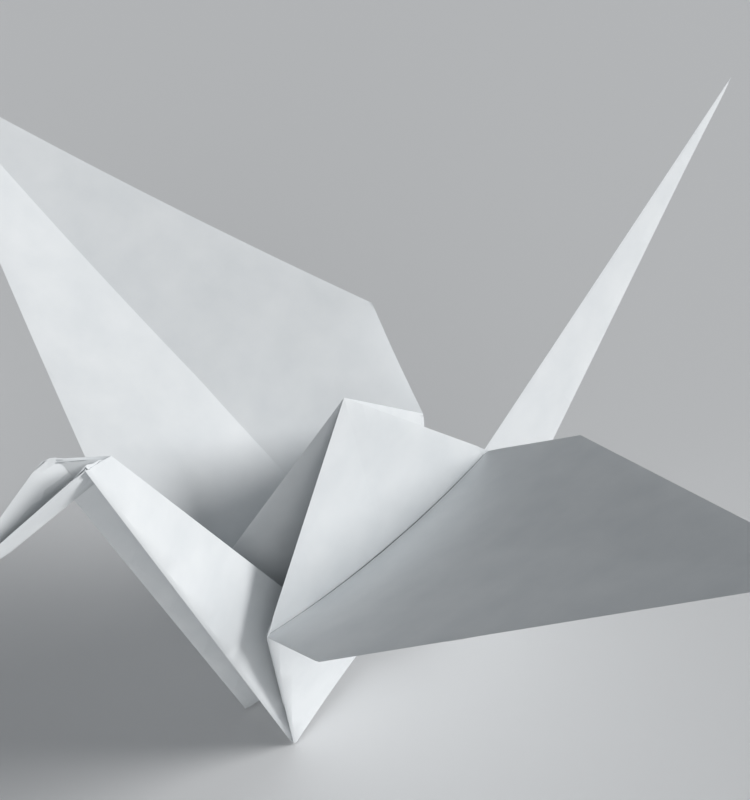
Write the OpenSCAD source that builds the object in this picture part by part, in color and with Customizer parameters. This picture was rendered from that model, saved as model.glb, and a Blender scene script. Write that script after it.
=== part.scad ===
/* [Sheet] */
// Side of the square sheet that the crane is folded from
sheet_side = 150; // [75:1:300]
// Thickness of one layer of the paper
paper = 0.1; // [0.08:0.01:0.2]

/* [Body] */
// Lean of each hat panel from upright, as the body is pulled open
hat_lean = 15.5; // [8:0.5:30]
// Height of the feet on the legs' outer creases, as a share of the sheet's side
foot_share = 0.4485; // [0.43:0.0005:0.47]
// Gap of the slit down the middle of each skirt
slit_gap = 0.4; // [0.2:0.1:1]

/* [Neck and tail] */
// Rise of the neck's spine above level
neck_rise = 59; // [45:1:70]
// Rise of the tail's spine above level
tail_rise = 27; // [20:1:60]
// Where the neck's spine bends into the head, as a share of its length
bend_share = 0.755; // [0.65:0.005:0.85]
// Length that the neck has over an exact fold of the sheet, as hand folding leaves it
neck_spare = 2.7; // [0:0.1:6]
// Distance that the head's fold pushes each rim of the neck aside
bend_spread = 1.5; // [0:0.1:2.5]
// Dip of the head below level
head_dip = 5; // [0:1:30]
// Distance that the tail's feet stand off the middle, towards the near side
tail_sway = 2.2; // [0:0.1:3]

/* [Wings] */
// Rise of the near wing above level, at its fold
near_wing_lift = 33; // [0:1:60]
// Extra rise of the near wing between its fold and its tip
near_wing_curl = 0; // [-10:1:20]
// Rise of the near wing's edges from its middle crease
near_wing_vee = 1; // [0:1:20]
// Rise of the far wing above level, at its fold
far_wing_lift = 29; // [0:1:60]
// Extra rise of the far wing between its fold and its tip
far_wing_curl = 9; // [-10:1:20]
// Rise of the far wing's edges from its middle crease
far_wing_vee = 12; // [0:1:20]
// Forward sweep of both wings
wing_sweep = 4.5; // [0:0.5:8]

/* [Hidden] */

// Layers of paper pressed together in each panel
hat_layers = 2;
gusset_layers = 2;
skirt_layers = 4;
leg_layers = 4;
wing_layers = 2;
flap_layers = 2;
// Strips that a wing's curve is made of, from the shoulders to the tip
wing_strips = 5;
// Facets round a fold
fold_facets = 6;

// The two ends of the body and its two sides
NECK = -1;
TAIL = 1;
NEAR = -1;
FAR = 1;

// Creases of the flat bird base, measured up its middle line from the legs' tips.
// The legs are narrowed by folding each outer edge to the middle: half of 22.5 degrees.
leg_angle = 11.25;
leg_slope = tan(leg_angle);
centre_y = sheet_side * sqrt(1 / 2);
ridge_y = centre_y / (1 + leg_slope);
ridge_x = ridge_y * leg_slope;
shoulder_y = sheet_side * tan(2 * leg_angle) / (leg_slope + tan(2 * leg_angle));
shoulder_x = shoulder_y * leg_slope;
wing_span = sheet_side - ridge_y;
shoulder_out = shoulder_y - ridge_y;
foot_y = sheet_side * foot_share;
foot_x = foot_y * leg_slope;
// The base's side corner, turned over the leg crease, ends on the middle line
corner_y = sheet_side / 2 / cos(2 * leg_angle);
// There the flap's edge crosses the wing's fold
flap_x = shoulder_x * (ridge_y - corner_y) / (shoulder_y - corner_y);

// A leg swings up by twice the angle of its reverse-fold crease
function spine_length(rise) = foot_y + foot_x * tan((90 - rise) / 2);
function leg_spine(end) = spine_length(end == NECK ? neck_rise : tail_rise);
neck_length = leg_spine(NECK) + neck_spare;
tail_length = leg_spine(TAIL);
leg_edge = foot_y / cos(leg_angle);

// Opening the body tips the spines outward: sin(tip) + cos(lean) cos(tip) = 1
spine_tip = 90 - 2 * atan(cos(hat_lean));
function ridge_way(end, side) = [end, side * sin(hat_lean), -cos(hat_lean)];
function spine_way(end) = [end * sin(spine_tip), 0, -cos(spine_tip)];
function gusset_way(end, side) = ridge_way(end, side) - spine_way(end);
function foot_from_top(end, side) = (centre_y - foot_y) * spine_way(end) + foot_x * gusset_way(end, side);

// Landmarks of the folded body, with the feet standing on the ground
foot_radius = skirt_layers * paper / 2;
top = [0, 0, foot_radius - foot_from_top(NECK, NEAR).z];
function ridge_end(end, side) = top + ridge_x * ridge_way(end, side);
function sway(end, x, y) = end == NECK ? 0 : -tail_sway * (centre_y - y - x) / (centre_y - foot_y - foot_x);
function foot(end, side) = top + foot_from_top(end, side) + [0, sway(end, foot_x, foot_y), 0];
function leg_length(end) = end == NECK ? neck_length : tail_length;
function leg_root(end) = top + (centre_y - leg_spine(end)) * spine_way(end) + [0, sway(end, 0, leg_spine(end)), 0];

// Direction of a leg's spine: its tip lies one leg edge from the foot and one spine from the root
function leg_way(end) =
    let (reach = foot_from_top(end, NEAR) - (centre_y - leg_spine(end)) * spine_way(end))
    let (spine = leg_spine(end))
    let (flat = norm([reach.x, reach.z]))
    let (drop = atan2(reach.z, end * reach.x))
    let (along = (spine * spine + reach * reach - leg_edge * leg_edge) / (2 * spine))
    let (rise = drop + acos(along / flat))
    [end * cos(rise), 0, sin(rise)];
function leg_tip(end) = leg_root(end) - [0, leg_root(end).y, 0] + leg_length(end) * leg_way(end);

// The head is reverse-folded: its crease runs where the neck's tip and the head's tip are equally far
bend = leg_root(NECK) + bend_share * neck_length * leg_way(NECK);
head_tip = bend + (1 - bend_share) * neck_length * [-cos(head_dip), 0, -sin(head_dip)];
function bend_rim(side) =
    let (start = foot(NECK, side))
    let (edge = leg_tip(NECK) - start)
    let (turn = head_tip - leg_tip(NECK))
    let (middle = (head_tip + leg_tip(NECK)) / 2)
    start + edge * ((middle - start) * turn) / (edge * turn) + [0, side * bend_spread, 0];

// Point of a wing, from its place along the wing's fold, its distance out from it and its depth below
function wing_lift(side) = side == NEAR ? near_wing_lift : far_wing_lift;
function wing_curl(side) = side == NEAR ? near_wing_curl : far_wing_curl;
function wing_vee(side) = side == NEAR ? near_wing_vee : far_wing_vee;
function wing_point(side, along, out, depth = 0) =
    let (root = (ridge_end(NECK, side) + ridge_end(TAIL, side)) / 2)
    let (turn = wing_curl(side) * out / wing_span)
    let (chord = wing_lift(side) + turn / 2)
    let (raised = tan(wing_vee(side)) * abs(along) * min(1, out / shoulder_out) - depth)
    let (level = out * cos(chord) - raised * sin(wing_lift(side) + turn))
    let (height = out * sin(chord) + raised * cos(wing_lift(side) + turn))
    root + [along - level * tan(wing_sweep), side * level, height];
function wing_half_width(out) = out <= shoulder_out
    ? ridge_x + (shoulder_x - ridge_x) * out / shoulder_out
    : shoulder_x * (wing_span - out) / (wing_span - shoulder_out);

// A panel of pressed layers, with rounded folds at its edges
module panel(corners, layers) {
    hull()
        for (corner = corners)
            translate(corner) sphere(d = layers * paper, $fn = fold_facets);
}

// The two sloping panels of the hat between the wings
module hat() {
    for (side = [NEAR, FAR])
        panel([top, ridge_end(NECK, side), ridge_end(TAIL, side)], hat_layers);
}

// The valley panels that face the neck and the tail, from the hat's ridges to the spines
module gussets() {
    for (end = [NECK, TAIL], side = [NEAR, FAR])
        panel([top, ridge_end(end, side), foot(end, side), leg_root(end)], gusset_layers);
}

// The two halves of the skirt that hang below each wing's fold, either side of a slit
module skirts() {
    for (end = [NECK, TAIL], side = [NEAR, FAR]) {
        fold_end = ridge_end(end, side);
        foot_end = foot(end, side);
        drop = (fold_end.z - leg_root(end).z) / (fold_end.z - foot_end.z);
        notch_y = fold_end.y + (foot_end.y - fold_end.y) * drop;
        slit_x = end * (slit_gap + skirt_layers * paper) / 2;
        panel([
            fold_end,
            [slit_x, fold_end.y, fold_end.z],
            [slit_x, notch_y, leg_root(end).z],
            foot_end
        ], skirt_layers);
    }
}

// The tail: two halves that share a spine on top and stay open below
module tail() {
    for (side = [NEAR, FAR])
        panel([leg_root(TAIL), foot(TAIL, side), leg_tip(TAIL)], leg_layers);
}

// The neck up to its bend, and the head turned down inside it
module neck() {
    for (side = [NEAR, FAR]) {
        panel([leg_root(NECK), foot(NECK, side), bend], leg_layers);
        panel([foot(NECK, side), bend_rim(side), bend], leg_layers);
        panel([bend, bend_rim(side), head_tip], leg_layers);
    }
}

// A wing's root, where its half turns up from the straight fold to the shoulder
module wing_root(end, side) {
    shoulder = wing_point(side, end * shoulder_x, shoulder_out);
    panel([wing_point(side, 0, 0), wing_point(side, end * ridge_x, 0), shoulder], wing_layers);
    panel([wing_point(side, 0, 0), wing_point(side, 0, shoulder_out), shoulder], wing_layers);
}

// A wing's half, as strips from its shoulder to the tip
module wing_half(end, side) {
    strip = (wing_span - shoulder_out) / wing_strips;
    for (i = [0 : wing_strips - 1]) {
        start = shoulder_out + i * strip;
        stop = start + strip;
        panel([
            wing_point(side, 0, start),
            wing_point(side, end * wing_half_width(start), start),
            wing_point(side, end * wing_half_width(stop), stop),
            wing_point(side, 0, stop)
        ], wing_layers);
    }
}

// The flap under a wing's root, turned in at the leg crease
module wing_flap(end, side) {
    depth = (wing_layers + flap_layers - 1) * paper / 2;
    panel([
        wing_point(side, end * ridge_x, 0, depth),
        wing_point(side, end * shoulder_x, shoulder_out, depth),
        wing_point(side, end * flap_x, 0, depth)
    ], flap_layers);
}

module wings() {
    for (end = [NECK, TAIL], side = [NEAR, FAR]) {
        wing_root(end, side);
        wing_half(end, side);
        wing_flap(end, side);
    }
}

// The whole crane, one folded sheet
module crane() {
    color("white") {
        hat();
        gussets();
        skirts();
        neck();
        tail();
        wings();
    }
}

crane();
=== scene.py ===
# %% [markdown]
# # A paper crane, folded from one sheet
# The crane is one square of white paper. Nothing is glued or added, so the whole model is one piece.
# The lesson folds that square: it takes the facets that the folds mark on a quarter of the sheet,
# cuts them at their creases, and lays each cut where it ends up on the standing crane.

# %% Load the frame
import math

import bmesh
import bpy
from mathutils import Euler, Matrix, Vector


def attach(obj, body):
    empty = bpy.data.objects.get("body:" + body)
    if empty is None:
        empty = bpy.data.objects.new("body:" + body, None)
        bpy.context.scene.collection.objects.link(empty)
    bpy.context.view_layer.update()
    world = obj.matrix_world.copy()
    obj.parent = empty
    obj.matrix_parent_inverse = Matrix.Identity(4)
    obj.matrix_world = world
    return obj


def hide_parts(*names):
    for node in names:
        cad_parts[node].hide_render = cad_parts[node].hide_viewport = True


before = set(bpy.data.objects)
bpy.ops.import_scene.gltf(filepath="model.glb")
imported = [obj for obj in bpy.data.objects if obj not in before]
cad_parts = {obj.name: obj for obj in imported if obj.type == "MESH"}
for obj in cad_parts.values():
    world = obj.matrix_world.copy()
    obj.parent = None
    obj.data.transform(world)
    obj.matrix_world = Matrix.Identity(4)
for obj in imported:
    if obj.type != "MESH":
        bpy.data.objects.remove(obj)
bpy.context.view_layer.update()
print("frame nodes:", sorted(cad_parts))

# %% [markdown]
# ## The sheet and its creases
# A crane starts as a bird base: a long diamond with the four corners of the sheet at its two ends.
# Flat, the base is measured up its middle line, from the tips of the legs at 0 to the tips of the wings
# at the full side of the sheet. Its edges open at 22.5 degrees. Each leg is then narrowed by folding its
# outer edge to the middle, so every leg crease runs up at half of that. The height of the hat and the
# length of the wings could be typed in, but they follow from that angle and the side of the sheet.

# %% The sheet, in metres, and its creases
SHEET = 0.150
PAPER = 0.0001
LEG_ANGLE = math.radians(11.25)
LEG_SLOPE = math.tan(LEG_ANGLE)
WING_SLOPE = math.tan(2 * LEG_ANGLE)
CENTRE_Y = SHEET * math.sqrt(0.5)
RIDGE_Y = CENTRE_Y / (1 + LEG_SLOPE)
RIDGE_X = RIDGE_Y * LEG_SLOPE
WING_SPAN = SHEET - RIDGE_Y
print(f"hat {1000 * (CENTRE_Y - RIDGE_Y):.1f} mm high, wing {1000 * WING_SPAN:.1f} mm long")

# %% [markdown]
# ## Standing the crane up
# Pulling the wings apart leans the two hat panels away from each other, and that tips the spines of the
# neck and tail outward by an exact amount. Corners placed by eye could stretch the paper, so they are worked
# out: first from the hat's top, then from the ground. A foot is where the outer crease of a leg turns up.
# The tail's feet stand a little towards the near side.

# %% Points of the body, measured from the hat's top
NECK, TAIL = -1, 1
NEAR, FAR = -1, 1
HAT_LEAN = math.radians(15.5)
SPINE_TIP = math.pi / 2 - 2 * math.atan(math.cos(HAT_LEAN))
FOOT_SHARE = 0.4485
FOOT_Y = SHEET * FOOT_SHARE
FOOT_X = FOOT_Y * LEG_SLOPE
FOOT_SWAY = {NECK: 0, TAIL: -0.0022}


def hat_down(side):
    return Vector((0, side * math.sin(HAT_LEAN), -math.cos(HAT_LEAN)))


def from_top(end, side, x, y):
    ridge = hat_down(side) + Vector((end, 0, 0))
    spine = Vector((end * math.sin(SPINE_TIP), 0, -math.cos(SPINE_TIP)))
    sway = FOOT_SWAY[end] * (CENTRE_Y - y - x) / (CENTRE_Y - FOOT_Y - FOOT_X)
    return (CENTRE_Y - y) * spine + x * (ridge - spine) + Vector((0, sway, 0))


print(f"the spines tip outward by {math.degrees(SPINE_TIP):.2f} degrees")

# %% Corners of the body, with the feet on the ground
FOOT_LAYERS = 4
TOP = Vector((0, 0, FOOT_LAYERS * PAPER / 2 - from_top(NECK, NEAR, FOOT_X, FOOT_Y).z))


def gusset_point(end, side, x, y):
    return TOP + from_top(end, side, x, y)


def foot(end, side):
    return gusset_point(end, side, FOOT_X, FOOT_Y)


def ridge_end(end, side):
    return gusset_point(end, side, RIDGE_X, RIDGE_Y)


print(f"the hat's top stands {1000 * TOP.z:.1f} mm above the ground")

# %% [markdown]
# ## Neck and tail
# The neck and the tail are the two legs of the base. Each is swung up between the sides of the body, about a
# crease from its spine to its feet, and the swing is twice the angle of that crease. So the rise of a leg
# sets its root. Its tip is found from two lengths that folding can't change: the spine and the edge above
# the foot. The neck is given a little more length, as inexact folding can leave it.

# %% Root and tip of a leg
LEG_RISE = {NECK: math.radians(59), TAIL: math.radians(27)}
LEG_SPARE = {NECK: 0.0027, TAIL: 0}
LEG_EDGE = math.hypot(FOOT_X, FOOT_Y)


def leg_spine(end):
    return FOOT_Y + FOOT_X * math.tan((math.pi / 2 - LEG_RISE[end]) / 2)


def leg_root(end):
    return gusset_point(end, NEAR, 0, leg_spine(end))


def leg_tip(end):
    root = leg_root(end)
    spine = leg_spine(end)
    reach = foot(end, NEAR) - root
    reach.y = (foot(end, FAR).y - foot(end, NEAR).y) / 2
    along = (spine ** 2 + reach.length_squared - LEG_EDGE ** 2) / (2 * spine)
    drop = math.atan2(reach.z, end * reach.x)
    rise = drop + math.acos(along / math.hypot(reach.x, reach.z))
    length = spine + LEG_SPARE[end]
    return Vector((root.x + end * length * math.cos(rise), 0, root.z + length * math.sin(rise)))


def in_mm(point):
    return tuple(round(1000 * c, 1) for c in point)


print("neck tip", in_mm(leg_tip(NECK)), "and tail tip", in_mm(leg_tip(TAIL)), "in mm")

# %% [markdown]
# ## The head
# The head is the end of the neck, turned down inside it. It could be a shape of its own, but it is the same
# strip of paper, so only its crease has to be found. That runs where the tips of the straight neck and of
# the head are equally far. It crosses the spine at the bend and each rim at one point, and pushes the two
# rims a little aside.

# %% The bend and the tip of the head
BEND_SHARE = 0.755
HEAD_DIP = math.radians(5)
NECK_TIP = leg_tip(NECK)
BEND = leg_root(NECK).lerp(NECK_TIP, BEND_SHARE)
HEAD_WAY = Vector((-math.cos(HEAD_DIP), 0, -math.sin(HEAD_DIP)))
HEAD_TIP = BEND + (NECK_TIP - BEND).length * HEAD_WAY
BEND_Y = (1 - BEND_SHARE) * leg_spine(NECK)
print("head tip", in_mm(HEAD_TIP), "in mm")

# %% Where the crease crosses the rims
BEND_SPREAD = 0.0015
RIM_SHIFT = {NEAR: Vector((0, 0, 0.0005)), FAR: Vector((-0.0012, 0, 0))}
NECK_TURN = HEAD_TIP - NECK_TIP
RIM_SHARE = ((HEAD_TIP + NECK_TIP) / 2 - foot(NECK, NEAR)).dot(NECK_TURN)
RIM_SHARE /= (NECK_TIP - foot(NECK, NEAR)).dot(NECK_TURN)
RIM_Y = FOOT_Y * (1 - RIM_SHARE)


def rim_flare(side):
    return RIM_SHIFT[side] + Vector((0, side * BEND_SPREAD, 0))


def bend_rim(side):
    return foot(NECK, side).lerp(NECK_TIP, RIM_SHARE) + rim_flare(side)


print("rims at the bend", in_mm(bend_rim(NEAR)), "and", in_mm(bend_rim(FAR)), "in mm")

# %% [markdown]
# ## Where the wings lie
# From here on, one rule for each part of the crane takes a point of the flat base, and its layer in the
# pressed stack, to its place in the round. The fold at the root of a wing bows down a little in its middle.
# From there a wing lifts and rises along its edges, and the far one also curls up towards its tip. Near the
# edges its layers lie closer together. A bend modifier could curl a wing, but a rule also places its layers.

# %% How the folds of the wings bow
FOLD_BOW = 0.0014


def bow(side, x, share, half):
    sag = FOLD_BOW * max(0, share) * max(0, 1 - (x / half) ** 2)
    return sag * hat_down(side)


print("a wing's fold bows by", in_mm(bow(NEAR, 0, 1, RIDGE_X)), "in mm")

# %% Rule for the wings
WING_LIFT = {NEAR: math.radians(33), FAR: math.radians(29)}
WING_CURL = {NEAR: 0, FAR: math.radians(9)}
WING_VEE = {NEAR: math.radians(1), FAR: math.radians(12)}
WING_SWEEP = math.tan(math.radians(4.5))
SHOULDER_OUT = SHEET * WING_SLOPE / (LEG_SLOPE + WING_SLOPE) - RIDGE_Y
BOW_REACH = 0.018
EDGE_TAPER = 0.002
EDGE_SHARE = 0.5


def layer_share(x, y):
    inside = min(WING_SLOPE * (SHEET - y), LEG_SLOPE * y) - x
    return min(1, EDGE_SHARE + (1 - EDGE_SHARE) * inside / EDGE_TAPER)


def wing_place(end, side, x, y, layer):
    out = y - RIDGE_Y
    root = (ridge_end(NECK, side) + ridge_end(TAIL, side)) / 2
    turn = WING_CURL[side] * out / WING_SPAN
    chord = WING_LIFT[side] + turn / 2
    slope = WING_LIFT[side] + turn
    raised = math.tan(WING_VEE[side]) * x * min(1, max(0, out / SHOULDER_OUT))
    raised += layer * PAPER * layer_share(x, y)
    level = out * math.cos(chord) - raised * math.sin(slope)
    height = out * math.sin(chord) + raised * math.cos(slope)
    place = root + Vector((end * x - level * WING_SWEEP, side * level, height))
    return place + bow(side, x, 1 - out / BOW_REACH, RIDGE_X)


for side in (NEAR, FAR):
    print("wing tip", in_mm(wing_place(NECK, side, 0, SHEET, 0)), "in mm")

# %% [markdown]
# ## Where the hat and the valley panels lie
# The hat is the pair of panels that lean apart between the wings. At its foot its paper lies behind the
# layers of the wing, so it sinks inward there, fading to nothing along its ridges. The valley panels lie
# between the ridges and the spines. They stay flat and need no more than the points of the body.

# %% Rules for the hat and the valley panels
TINY = 1e-9


def hat_place(end, side, x, y, layer):
    outward = Vector((0, side * math.cos(HAT_LEAN), math.sin(HAT_LEAN)))
    depth = CENTRE_Y - y
    sink = layer * PAPER * (depth - x) / RIDGE_X
    place = TOP + Vector((end * x, 0, 0)) + depth * hat_down(side) + sink * outward
    return place + bow(side, x, depth / RIDGE_X, max(TINY, depth))


def gusset_place(end, side, x, y, layer):
    return gusset_point(end, side, x, y)


print("middle of the hat's foot", in_mm(hat_place(NECK, NEAR, 0, RIDGE_Y, 0)), "in mm")

# %% [markdown]
# ## Where the skirt lies
# Below the fold of a wing the body hangs down to the feet as a skirt. Its middle, where its two halves meet,
# is drawn in a little, and its ends keep to the lines from the ridges to the feet. It is ruled between the
# fold and the feet, which keeps it smooth with few values.

# %% Rule for the skirt
SKIRT_TUCK = 0.0025


def share_across(x, y):
    return x / max(TINY, LEG_SLOPE * y)


def skirt_place(end, side, x, y, layer):
    across = min(1, share_across(x, y))
    drop = (RIDGE_Y - y) / (RIDGE_Y - FOOT_Y)
    fold = ridge_end(NECK, side)
    middle = foot(NECK, side) - Vector((0, side * SKIRT_TUCK, 0))
    level = middle.lerp(foot(end, side), across)
    wide = end * x + end * drop * across * (abs(foot(end, side).x) - FOOT_X)
    hang = fold.y + drop * (level.y - fold.y) + side * layer * PAPER
    place = Vector((wide, hang, fold.z + drop * (level.z - fold.z)))
    return place + bow(side, x, 1 - drop, RIDGE_X)


print("near skirt's foot", in_mm(skirt_place(NECK, NEAR, FOOT_X, FOOT_Y, 0)), "in mm")

# %% [markdown]
# ## Where the legs and the head lie
# A leg is two flat halves that share a spine. The flaps that narrowed it are nested inside, a little clear
# of the spine and of the rim. All layers run together at the tip, and those that aren't nested also at the
# spine. The head is the end of the neck inside out, so the same rule lays it, with its spine sunk a little.

# %% Rule for half a leg
NESTED = (-1.6, -2.6)
NEST_INSET = 0.0004
SPINE_ROUND = 0.0012
TIP_LENGTH = 0.012


def nest(x, y, layer):
    inset = NEST_INSET * min(1, y / TIP_LENGTH) * (1 - 2 * share_across(x, y))
    return x + inset if layer in NESTED else x


def half_place(side, tip, root, root_y, rim, rim_y, x, y, layer):
    along = (root - tip) / root_y
    across = (rim - tip - rim_y * along) / (LEG_SLOPE * rim_y)
    outward = along.cross(across).normalized()
    outward *= side * math.copysign(1, outward.y)
    closing = 1 if layer in NESTED else min(1, x / SPINE_ROUND)
    sink = layer * PAPER * min(1, y / TIP_LENGTH) * closing
    return tip + y * along + x * across + sink * outward


print(f"nested flaps start {1000 * nest(0, TIP_LENGTH, NESTED[0]):.1f} mm from the spine")

# %% Rules for the legs and the head
HEAD_SINK = 0.0013
SINK_REACH = 4 * HEAD_SINK


def leg_place(end, side, x, y, layer):
    x = nest(x, y, layer)
    spine = leg_spine(end)
    place = half_place(side, leg_tip(end), leg_root(end), spine, foot(end, side), FOOT_Y, x, y, layer)
    if end == NECK:
        rise = min(1, max(0, (FOOT_Y - y) / (FOOT_Y - RIM_Y)))
        place += rise * share_across(x, y) * rim_flare(side)
    return place


def head_place(end, side, x, y, layer):
    place = half_place(side, HEAD_TIP, BEND, BEND_Y, bend_rim(side), RIM_Y, x, y, layer)
    place.z -= HEAD_SINK * min(1, y / SINK_REACH) * (1 - share_across(x, y))
    return place


print("the head's spine starts at", in_mm(head_place(NECK, NEAR, 0, BEND_Y, 0)), "in mm")

# %% [markdown]
# ## A quarter of the sheet
# Each quarter of the sheet holds five facets round one inner corner of the base. They are joined along
# their folds, and here they start folded flat on top of each other. bisect_plane cuts them all at each
# crease, and what lies outside the leg crease is turned over it, as the folder does. A cut close beside
# that crease keeps the rims of the legs straight, and a grid of extra cuts lets the wings and folds curve.

# %% Five facets, folded flat and narrowed
FACETS = ("wing_face", "wing_strip", "leg_strip", "gusset", "hat")
HALF = SHEET / 2
CUT_REACH = 1e-7


def cut(bm, start, stop, top=SHEET):
    way = Vector((stop[0] - start[0], stop[1] - start[1], 0))
    faces = [face for face in bm.faces if face.calc_center_median().y < top]
    edges = {edge for face in faces for edge in face.edges}
    verts = {vert for face in faces for vert in face.verts}
    bmesh.ops.bisect_plane(bm, geom=[*verts, *edges, *faces], dist=CUT_REACH,
                           plane_co=(start[0], start[1], 0), plane_no=(way.y, -way.x, 0))


def flat_quarter():
    bm = bmesh.new()
    facet = bm.faces.layers.int.new("facet")
    over = bm.faces.layers.int.new("over")
    spots = ((0, SHEET), (HALF * WING_SLOPE, HALF), (0, HALF), (0, HALF), (0, 0), (0, CENTRE_Y))
    wing, corner, hinge, raw, leg, centre = [bm.verts.new((x, y, 0)) for x, y in spots]
    outlines = ((wing, corner, hinge), (corner, wing, raw), (corner, raw, leg), (corner, leg, centre),
                (corner, centre, hinge))
    for number, outline in enumerate(outlines):
        bm.faces.new(outline)[facet] = number
    cut(bm, (0, 0), (LEG_SLOPE, 1))
    across = Vector((1, -LEG_SLOPE, 0)).normalized()
    for face in bm.faces:
        face[over] = face.calc_center_median().dot(across) > 0
    for vert in bm.verts:
        vert.co -= 2 * max(0, vert.co.dot(across)) * across
    return bm


print("facets of a quarter:", ", ".join(FACETS))

# %% Cut the other creases and a grid
LEG_CREASE = {end: ((0, leg_spine(end)), (FOOT_X, FOOT_Y)) for end in (NECK, TAIL)}
HEAD_CREASE = ((0, BEND_Y), (LEG_SLOPE * RIM_Y, RIM_Y))
RIM_ROUND = 0.0003
GRID = 0.002


def crease_quarter(end):
    bm = flat_quarter()
    cut(bm, (0, RIDGE_Y), (1, RIDGE_Y))
    cut(bm, (-RIM_ROUND, 0), (LEG_SLOPE - RIM_ROUND, 1), RIDGE_Y)
    cut(bm, *LEG_CREASE[end])
    if end == NECK:
        cut(bm, *HEAD_CREASE)
    for i in range(1, int(SHEET / GRID)):
        cut(bm, (0, i * GRID), (1, i * GRID))
        cut(bm, (i * GRID, 0), (i * GRID, 1))
    return bm


print(f"head crease at {1000 * BEND_Y:.1f} mm on the spine and {1000 * RIM_Y:.1f} mm at the rims")

# %% [markdown]
# ## Laying a quarter on the crane
# Each cut face belongs to one part of the crane and takes one layer of that part's stack, counted in
# thicknesses of paper, outward or upward. A corner settles at the mean of the places that its faces give it.
# But a leg follows the skirt that it starts from, the head follows the neck, and along the edge of a wing
# the top layer leads. An armature could fold the sheet too, but rules say where each layer lies.

# %% The part and the layer of each face
LAYERS = {
    "wing": {"wing_face": (0, -3.6), "wing_strip": (-1.2, -2.4)},
    "skirt": {"hat": (-3.5, 2.4), "wing_face": (-1, 2), "wing_strip": (0, 1), "leg_strip": (0, 1),
              "gusset": (0, 3)},
    "leg": {"gusset": (0, -4), "leg_strip": NESTED},
    "head": {"gusset": (-4, 0), "leg_strip": NESTED[::-1]},
    "hat": {"hat": (-3.5, 0)},
    "gusset": {"gusset": (0, 0)},
}


def below(point, start, stop):
    return (stop[0] - start[0]) * (point.y - start[1]) < (stop[1] - start[1]) * (point.x - start[0])


def part_of(facet, end, middle, over):
    if facet in ("gusset", "leg_strip") and below(middle, *LEG_CREASE[end]):
        return "head" if end == NECK and below(middle, *HEAD_CREASE) else "leg"
    if facet in ("wing_face", "wing_strip"):
        return "wing" if middle.y > RIDGE_Y else "skirt"
    if facet == "hat" and middle.y > RIDGE_Y:
        return "hat"
    return "gusset" if facet == "gusset" and not over else "skirt"


print("parts of the crane:", ", ".join(LAYERS))

# %% Where a corner settles
FOLLOWS = {"leg": "skirt", "head": "leg"}


def settle(found):
    names = {part for part, layer, place in found}
    highest = max(layer for part, layer, place in found)
    spots = [place for part, layer, place in found
             if FOLLOWS.get(part) not in names and (names != {"wing"} or layer == highest)]
    return sum(spots, Vector()) / len(spots)


print("parts that follow another:", ", ".join(FOLLOWS))

# %% Lay a quarter on the standing crane
PLACES = {"wing": wing_place, "skirt": skirt_place, "leg": leg_place, "head": head_place,
          "hat": hat_place, "gusset": gusset_place}
WHOLE_MIDDLE = ("wing_face", "hat", "gusset")
SAME_POINT = 1e-6
patches = {}


def place_quarter(end, side):
    bm = crease_quarter(end)
    facet = bm.faces.layers.int["facet"]
    over = bm.faces.layers.int["over"]
    patch = bm.faces.layers.int.new("patch")
    join = bm.verts.layers.int.new("join")
    places = {vert: [] for vert in bm.verts}
    for face in bm.faces:
        name = FACETS[face[facet]]
        part = part_of(name, end, face.calc_center_median(), face[over])
        layer = LAYERS[part][name][face[over]]
        face[patch] = patches.setdefault((part, name, face[over], end, side), len(patches))
        for vert in face.verts:
            place = PLACES[part](end, side, vert.co.x, vert.co.y, layer)
            places[vert].append((part, layer, place))
            if abs(vert.co.x) < SAME_POINT and not face[over] and name in WHOLE_MIDDLE:
                vert[join] = 1
    for vert, found in places.items():
        vert.co = settle(found)
    return bm


print("rules to lay a quarter:", len(PLACES))

# %% [markdown]
# ## The whole sheet
# Four quarters make the sheet. They are one stretch of paper along the middle of the wings and the hat and
# along the spines of the legs, while the sheet's raw edges, under the wings and inside the legs, only meet.
# The faces of one facet in one part are a patch. Edges between patches stay sharp, as creases do, and the
# faces within a patch are smooth. Solidify gives the paper its thickness, half to each side.

# %% Join the quarters
whole = bmesh.new()
for end in (NECK, TAIL):
    for side in (NEAR, FAR):
        quarter = place_quarter(end, side)
        quarter_mesh = bpy.data.meshes.new("quarter")
        quarter.to_mesh(quarter_mesh)
        whole.from_mesh(quarter_mesh)
        quarter.free()
        bpy.data.meshes.remove(quarter_mesh)
join = whole.verts.layers.int["join"]
bmesh.ops.remove_doubles(whole, verts=[vert for vert in whole.verts if vert[join]], dist=SAME_POINT)
bmesh.ops.recalc_face_normals(whole, faces=whole.faces[:])
area = sum(face.calc_area() for face in whole.faces)
print(f"{len(patches)} patches cover {1e4 * area:.1f} of the sheet's {1e4 * SHEET ** 2:.1f} square cm")

# %% Keep the creases sharp
patch = whole.faces.layers.int["patch"]
for face in whole.faces:
    face.smooth = True
for edge in whole.edges:
    edge.smooth = len({face[patch] for face in edge.link_faces}) == 1
print("sharp edges:", sum(not edge.smooth for edge in whole.edges), "of", len(whole.edges))

# %% Give the paper its thickness
sheet_mesh = bpy.data.meshes.new("crane_paper")
whole.to_mesh(sheet_mesh)
whole.free()
crane = bpy.data.objects.new("crane_paper", sheet_mesh)
bpy.context.scene.collection.objects.link(crane)
thick = crane.modifiers.new("thickness", "SOLIDIFY")
thick.thickness = PAPER
thick.offset = 0
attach(crane, "root")
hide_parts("crane")
print(f"paper: {len(sheet_mesh.polygons)} faces, {1000 * PAPER:.1f} mm thick")

# %% [markdown]
# ## The paper
# White uncoated paper isn't one flat colour. Its fibres give it a faint cloudy tone and a fine tooth, and it
# scatters light so evenly that it has almost no gloss. A scanned picture could show that, but noise needs no
# unwrapping: two scales of it drive the tone, the roughness and a very shallow bump, on Object coordinates.

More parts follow.
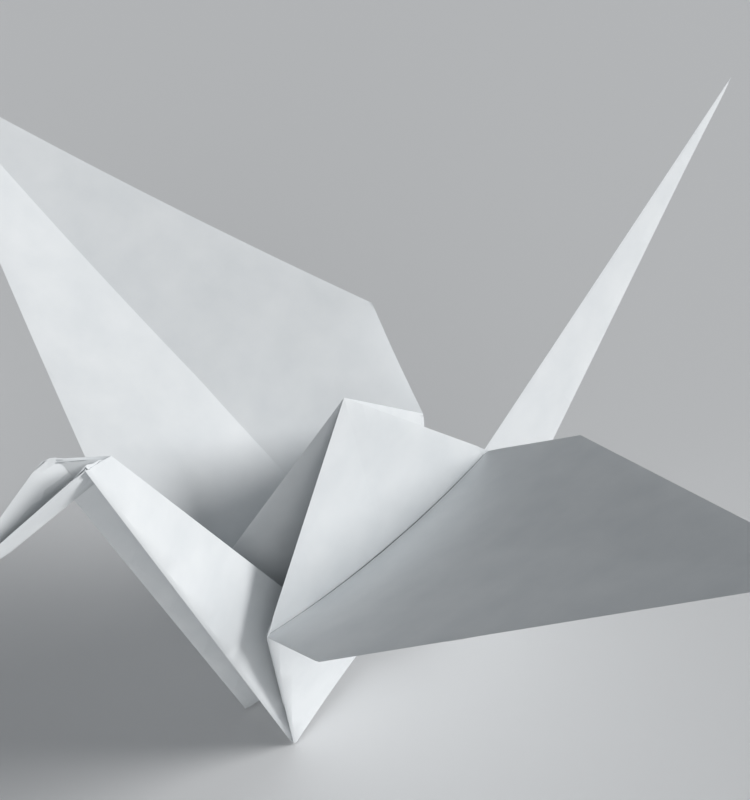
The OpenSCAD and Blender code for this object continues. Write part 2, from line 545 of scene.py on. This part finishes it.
# %% Clouds and fibres
paper_look = bpy.data.materials.new("white_paper")
paper_look.use_nodes = True
nodes = paper_look.node_tree.nodes
links = paper_look.node_tree.links
coords = nodes.new("ShaderNodeTexCoord")
cloud = nodes.new("ShaderNodeTexNoise")
cloud.inputs["Scale"].default_value = 220
cloud.inputs["Detail"].default_value = 4
fibre = nodes.new("ShaderNodeTexNoise")
fibre.inputs["Scale"].default_value = 2600
fibre.inputs["Detail"].default_value = 6
fibre.inputs["Roughness"].default_value = 0.7
for texture in (cloud, fibre):
    links.new(coords.outputs["Object"], texture.inputs["Vector"])
print("noise scales:", [texture.inputs["Scale"].default_value for texture in (cloud, fibre)])

# %% Tone, roughness and tooth
shader = nodes["Principled BSDF"]
tone = nodes.new("ShaderNodeValToRGB")
tone.color_ramp.elements[0].position = 0.3
tone.color_ramp.elements[0].color = (0.80, 0.825, 0.84, 1)
tone.color_ramp.elements[1].position = 0.75
tone.color_ramp.elements[1].color = (0.865, 0.885, 0.895, 1)
gloss = nodes.new("ShaderNodeMapRange")
gloss.inputs["To Min"].default_value = 0.72
gloss.inputs["To Max"].default_value = 0.9
tooth = nodes.new("ShaderNodeBump")
tooth.inputs["Strength"].default_value = 0.12
tooth.inputs["Distance"].default_value = 0.00003
links.new(cloud.outputs["Fac"], tone.inputs["Fac"])
links.new(tone.outputs["Color"], shader.inputs["Base Color"])
links.new(fibre.outputs["Fac"], gloss.inputs["Value"])
links.new(gloss.outputs["Result"], shader.inputs["Roughness"])
links.new(fibre.outputs["Fac"], tooth.inputs["Height"])
links.new(tooth.outputs["Normal"], shader.inputs["Normal"])
shader.inputs["Specular IOR Level"].default_value = 0.25
sheet_mesh.materials.append(paper_look)
print("material:", paper_look.name, "with", len(nodes), "nodes")

# %% [markdown]
# ## The floor
# The crane stands on a plain pale floor. A curved backdrop could hide its end, but from the camera's height
# one large flat face already fills the picture.

# %% Floor
FLOOR_HALF = 3
floor_mesh = bpy.data.meshes.new("floor")
floor_bm = bmesh.new()
bmesh.ops.create_grid(floor_bm, x_segments=1, y_segments=1, size=FLOOR_HALF)
floor_bm.to_mesh(floor_mesh)
floor_bm.free()
floor = bpy.data.objects.new("floor", floor_mesh)
bpy.context.scene.collection.objects.link(floor)
floor_look = bpy.data.materials.new("pale_floor")
floor_look.use_nodes = True
floor_shader = floor_look.node_tree.nodes["Principled BSDF"]
floor_shader.inputs["Base Color"].default_value = (0.78, 0.785, 0.79, 1)
floor_shader.inputs["Roughness"].default_value = 0.9
floor_mesh.materials.append(floor_look)
print(f"floor: {2 * FLOOR_HALF} m square")

# %% [markdown]
# ## The light
# Two broad, soft suns light the crane. The key is low on the near right: it lights the far wing, the hat and
# the near faces of the neck and tail, and leaves the near wing's top in shade. The fill comes from the near
# left. Area lamps would do as well, but a sun lights near and far paper alike. The sky is dim as a light, so
# that the folds keep their shade, and only the camera, reflections and clear materials see it pale.


# %% Lamps
def soft_sun(name, toward, spread, strength):
    lamp = bpy.data.lights.new(name, "SUN")
    lamp.angle = math.radians(spread)
    lamp.energy = strength
    holder = bpy.data.objects.new(name, lamp)
    holder.location = toward
    holder.rotation_euler = (-Vector(toward)).to_track_quat("-Z", "Y").to_euler()
    bpy.context.scene.collection.objects.link(holder)


soft_sun("key", toward=(0.69, -0.60, 0.41), spread=28, strength=2.4)
soft_sun("fill", toward=(-0.60, -0.65, 0.47), spread=40, strength=0.5)
print("lamps:", [lamp.name for lamp in bpy.data.lights])

# %% World, dim as a light and pale as a backdrop
SKY_STRENGTH = 0.19
BACKDROP_STRENGTH = 0.65
world = bpy.data.worlds.new("studio")
world.use_nodes = True
sky_nodes = world.node_tree.nodes
sky_links = world.node_tree.links
sky = sky_nodes["Background"]
sky.inputs["Color"].default_value = (0.9, 0.95, 1.0, 1)
path = sky_nodes.new("ShaderNodeLightPath")
mirrored = sky_nodes.new("ShaderNodeMath")
mirrored.operation = "MAXIMUM"
seen = sky_nodes.new("ShaderNodeMath")
seen.operation = "MAXIMUM"
level = sky_nodes.new("ShaderNodeMapRange")
level.inputs["To Min"].default_value = SKY_STRENGTH
level.inputs["To Max"].default_value = BACKDROP_STRENGTH
sky_links.new(path.outputs["Is Glossy Ray"], mirrored.inputs[0])
sky_links.new(path.outputs["Is Transmission Ray"], mirrored.inputs[1])
sky_links.new(path.outputs["Is Camera Ray"], seen.inputs[0])
sky_links.new(mirrored.outputs["Value"], seen.inputs[1])
sky_links.new(seen.outputs["Value"], level.inputs["Value"])
sky_links.new(level.outputs["Result"], sky.inputs["Strength"])
bpy.context.scene.world = world
bpy.context.scene.view_settings.view_transform = "Standard"
print("world:", world.name, "of strength", SKY_STRENGTH, "as a light and", BACKDROP_STRENGTH, "as seen")

# %% [markdown]
# ## The camera
# The camera looks down from the photo's angle, slightly rolled. Its place, its focal length and the point
# that its lens is centred on were found by fitting corners of the crane to the same corners in the photo, so
# the lens is given in the photo's pixels. The shift puts its centre where it belongs in the picture.

# %% Lens
IMAGE = (750, 800)
FOCAL_PIXELS = 1777
VIEW_CENTRE = (349.4, 512.1)
camera_data = bpy.data.cameras.new("camera")
camera_data.sensor_fit = "VERTICAL"
camera_data.sensor_height = 24
camera_data.lens = FOCAL_PIXELS * camera_data.sensor_height / IMAGE[1]
camera_data.shift_x = (IMAGE[0] / 2 - VIEW_CENTRE[0]) / IMAGE[1]
camera_data.shift_y = (VIEW_CENTRE[1] - IMAGE[1] / 2) / IMAGE[1]
camera_data.clip_start = 0.01
print("lens", round(camera_data.lens, 1), "mm")

# %% Camera
VIEW_AZIMUTH = math.radians(-46.25)
VIEW_ELEVATION = math.radians(45.0)
VIEW_ROLL = math.radians(-2.7)
VIEW_DISTANCE = 0.1874
VIEW_AIM = Vector((0, 0, 0.0225))
camera = bpy.data.objects.new("camera", camera_data)
upright = Euler((math.pi / 2 - VIEW_ELEVATION, 0, VIEW_AZIMUTH)).to_matrix()
turn = upright @ Matrix.Rotation(VIEW_ROLL, 3, "Z")
camera.rotation_euler = turn.to_euler()
camera.location = VIEW_AIM + VIEW_DISTANCE * (turn @ Vector((0, 0, 1)))
bpy.context.scene.collection.objects.link(camera)
bpy.context.scene.camera = camera
print("camera at", in_mm(camera.location), "in mm")
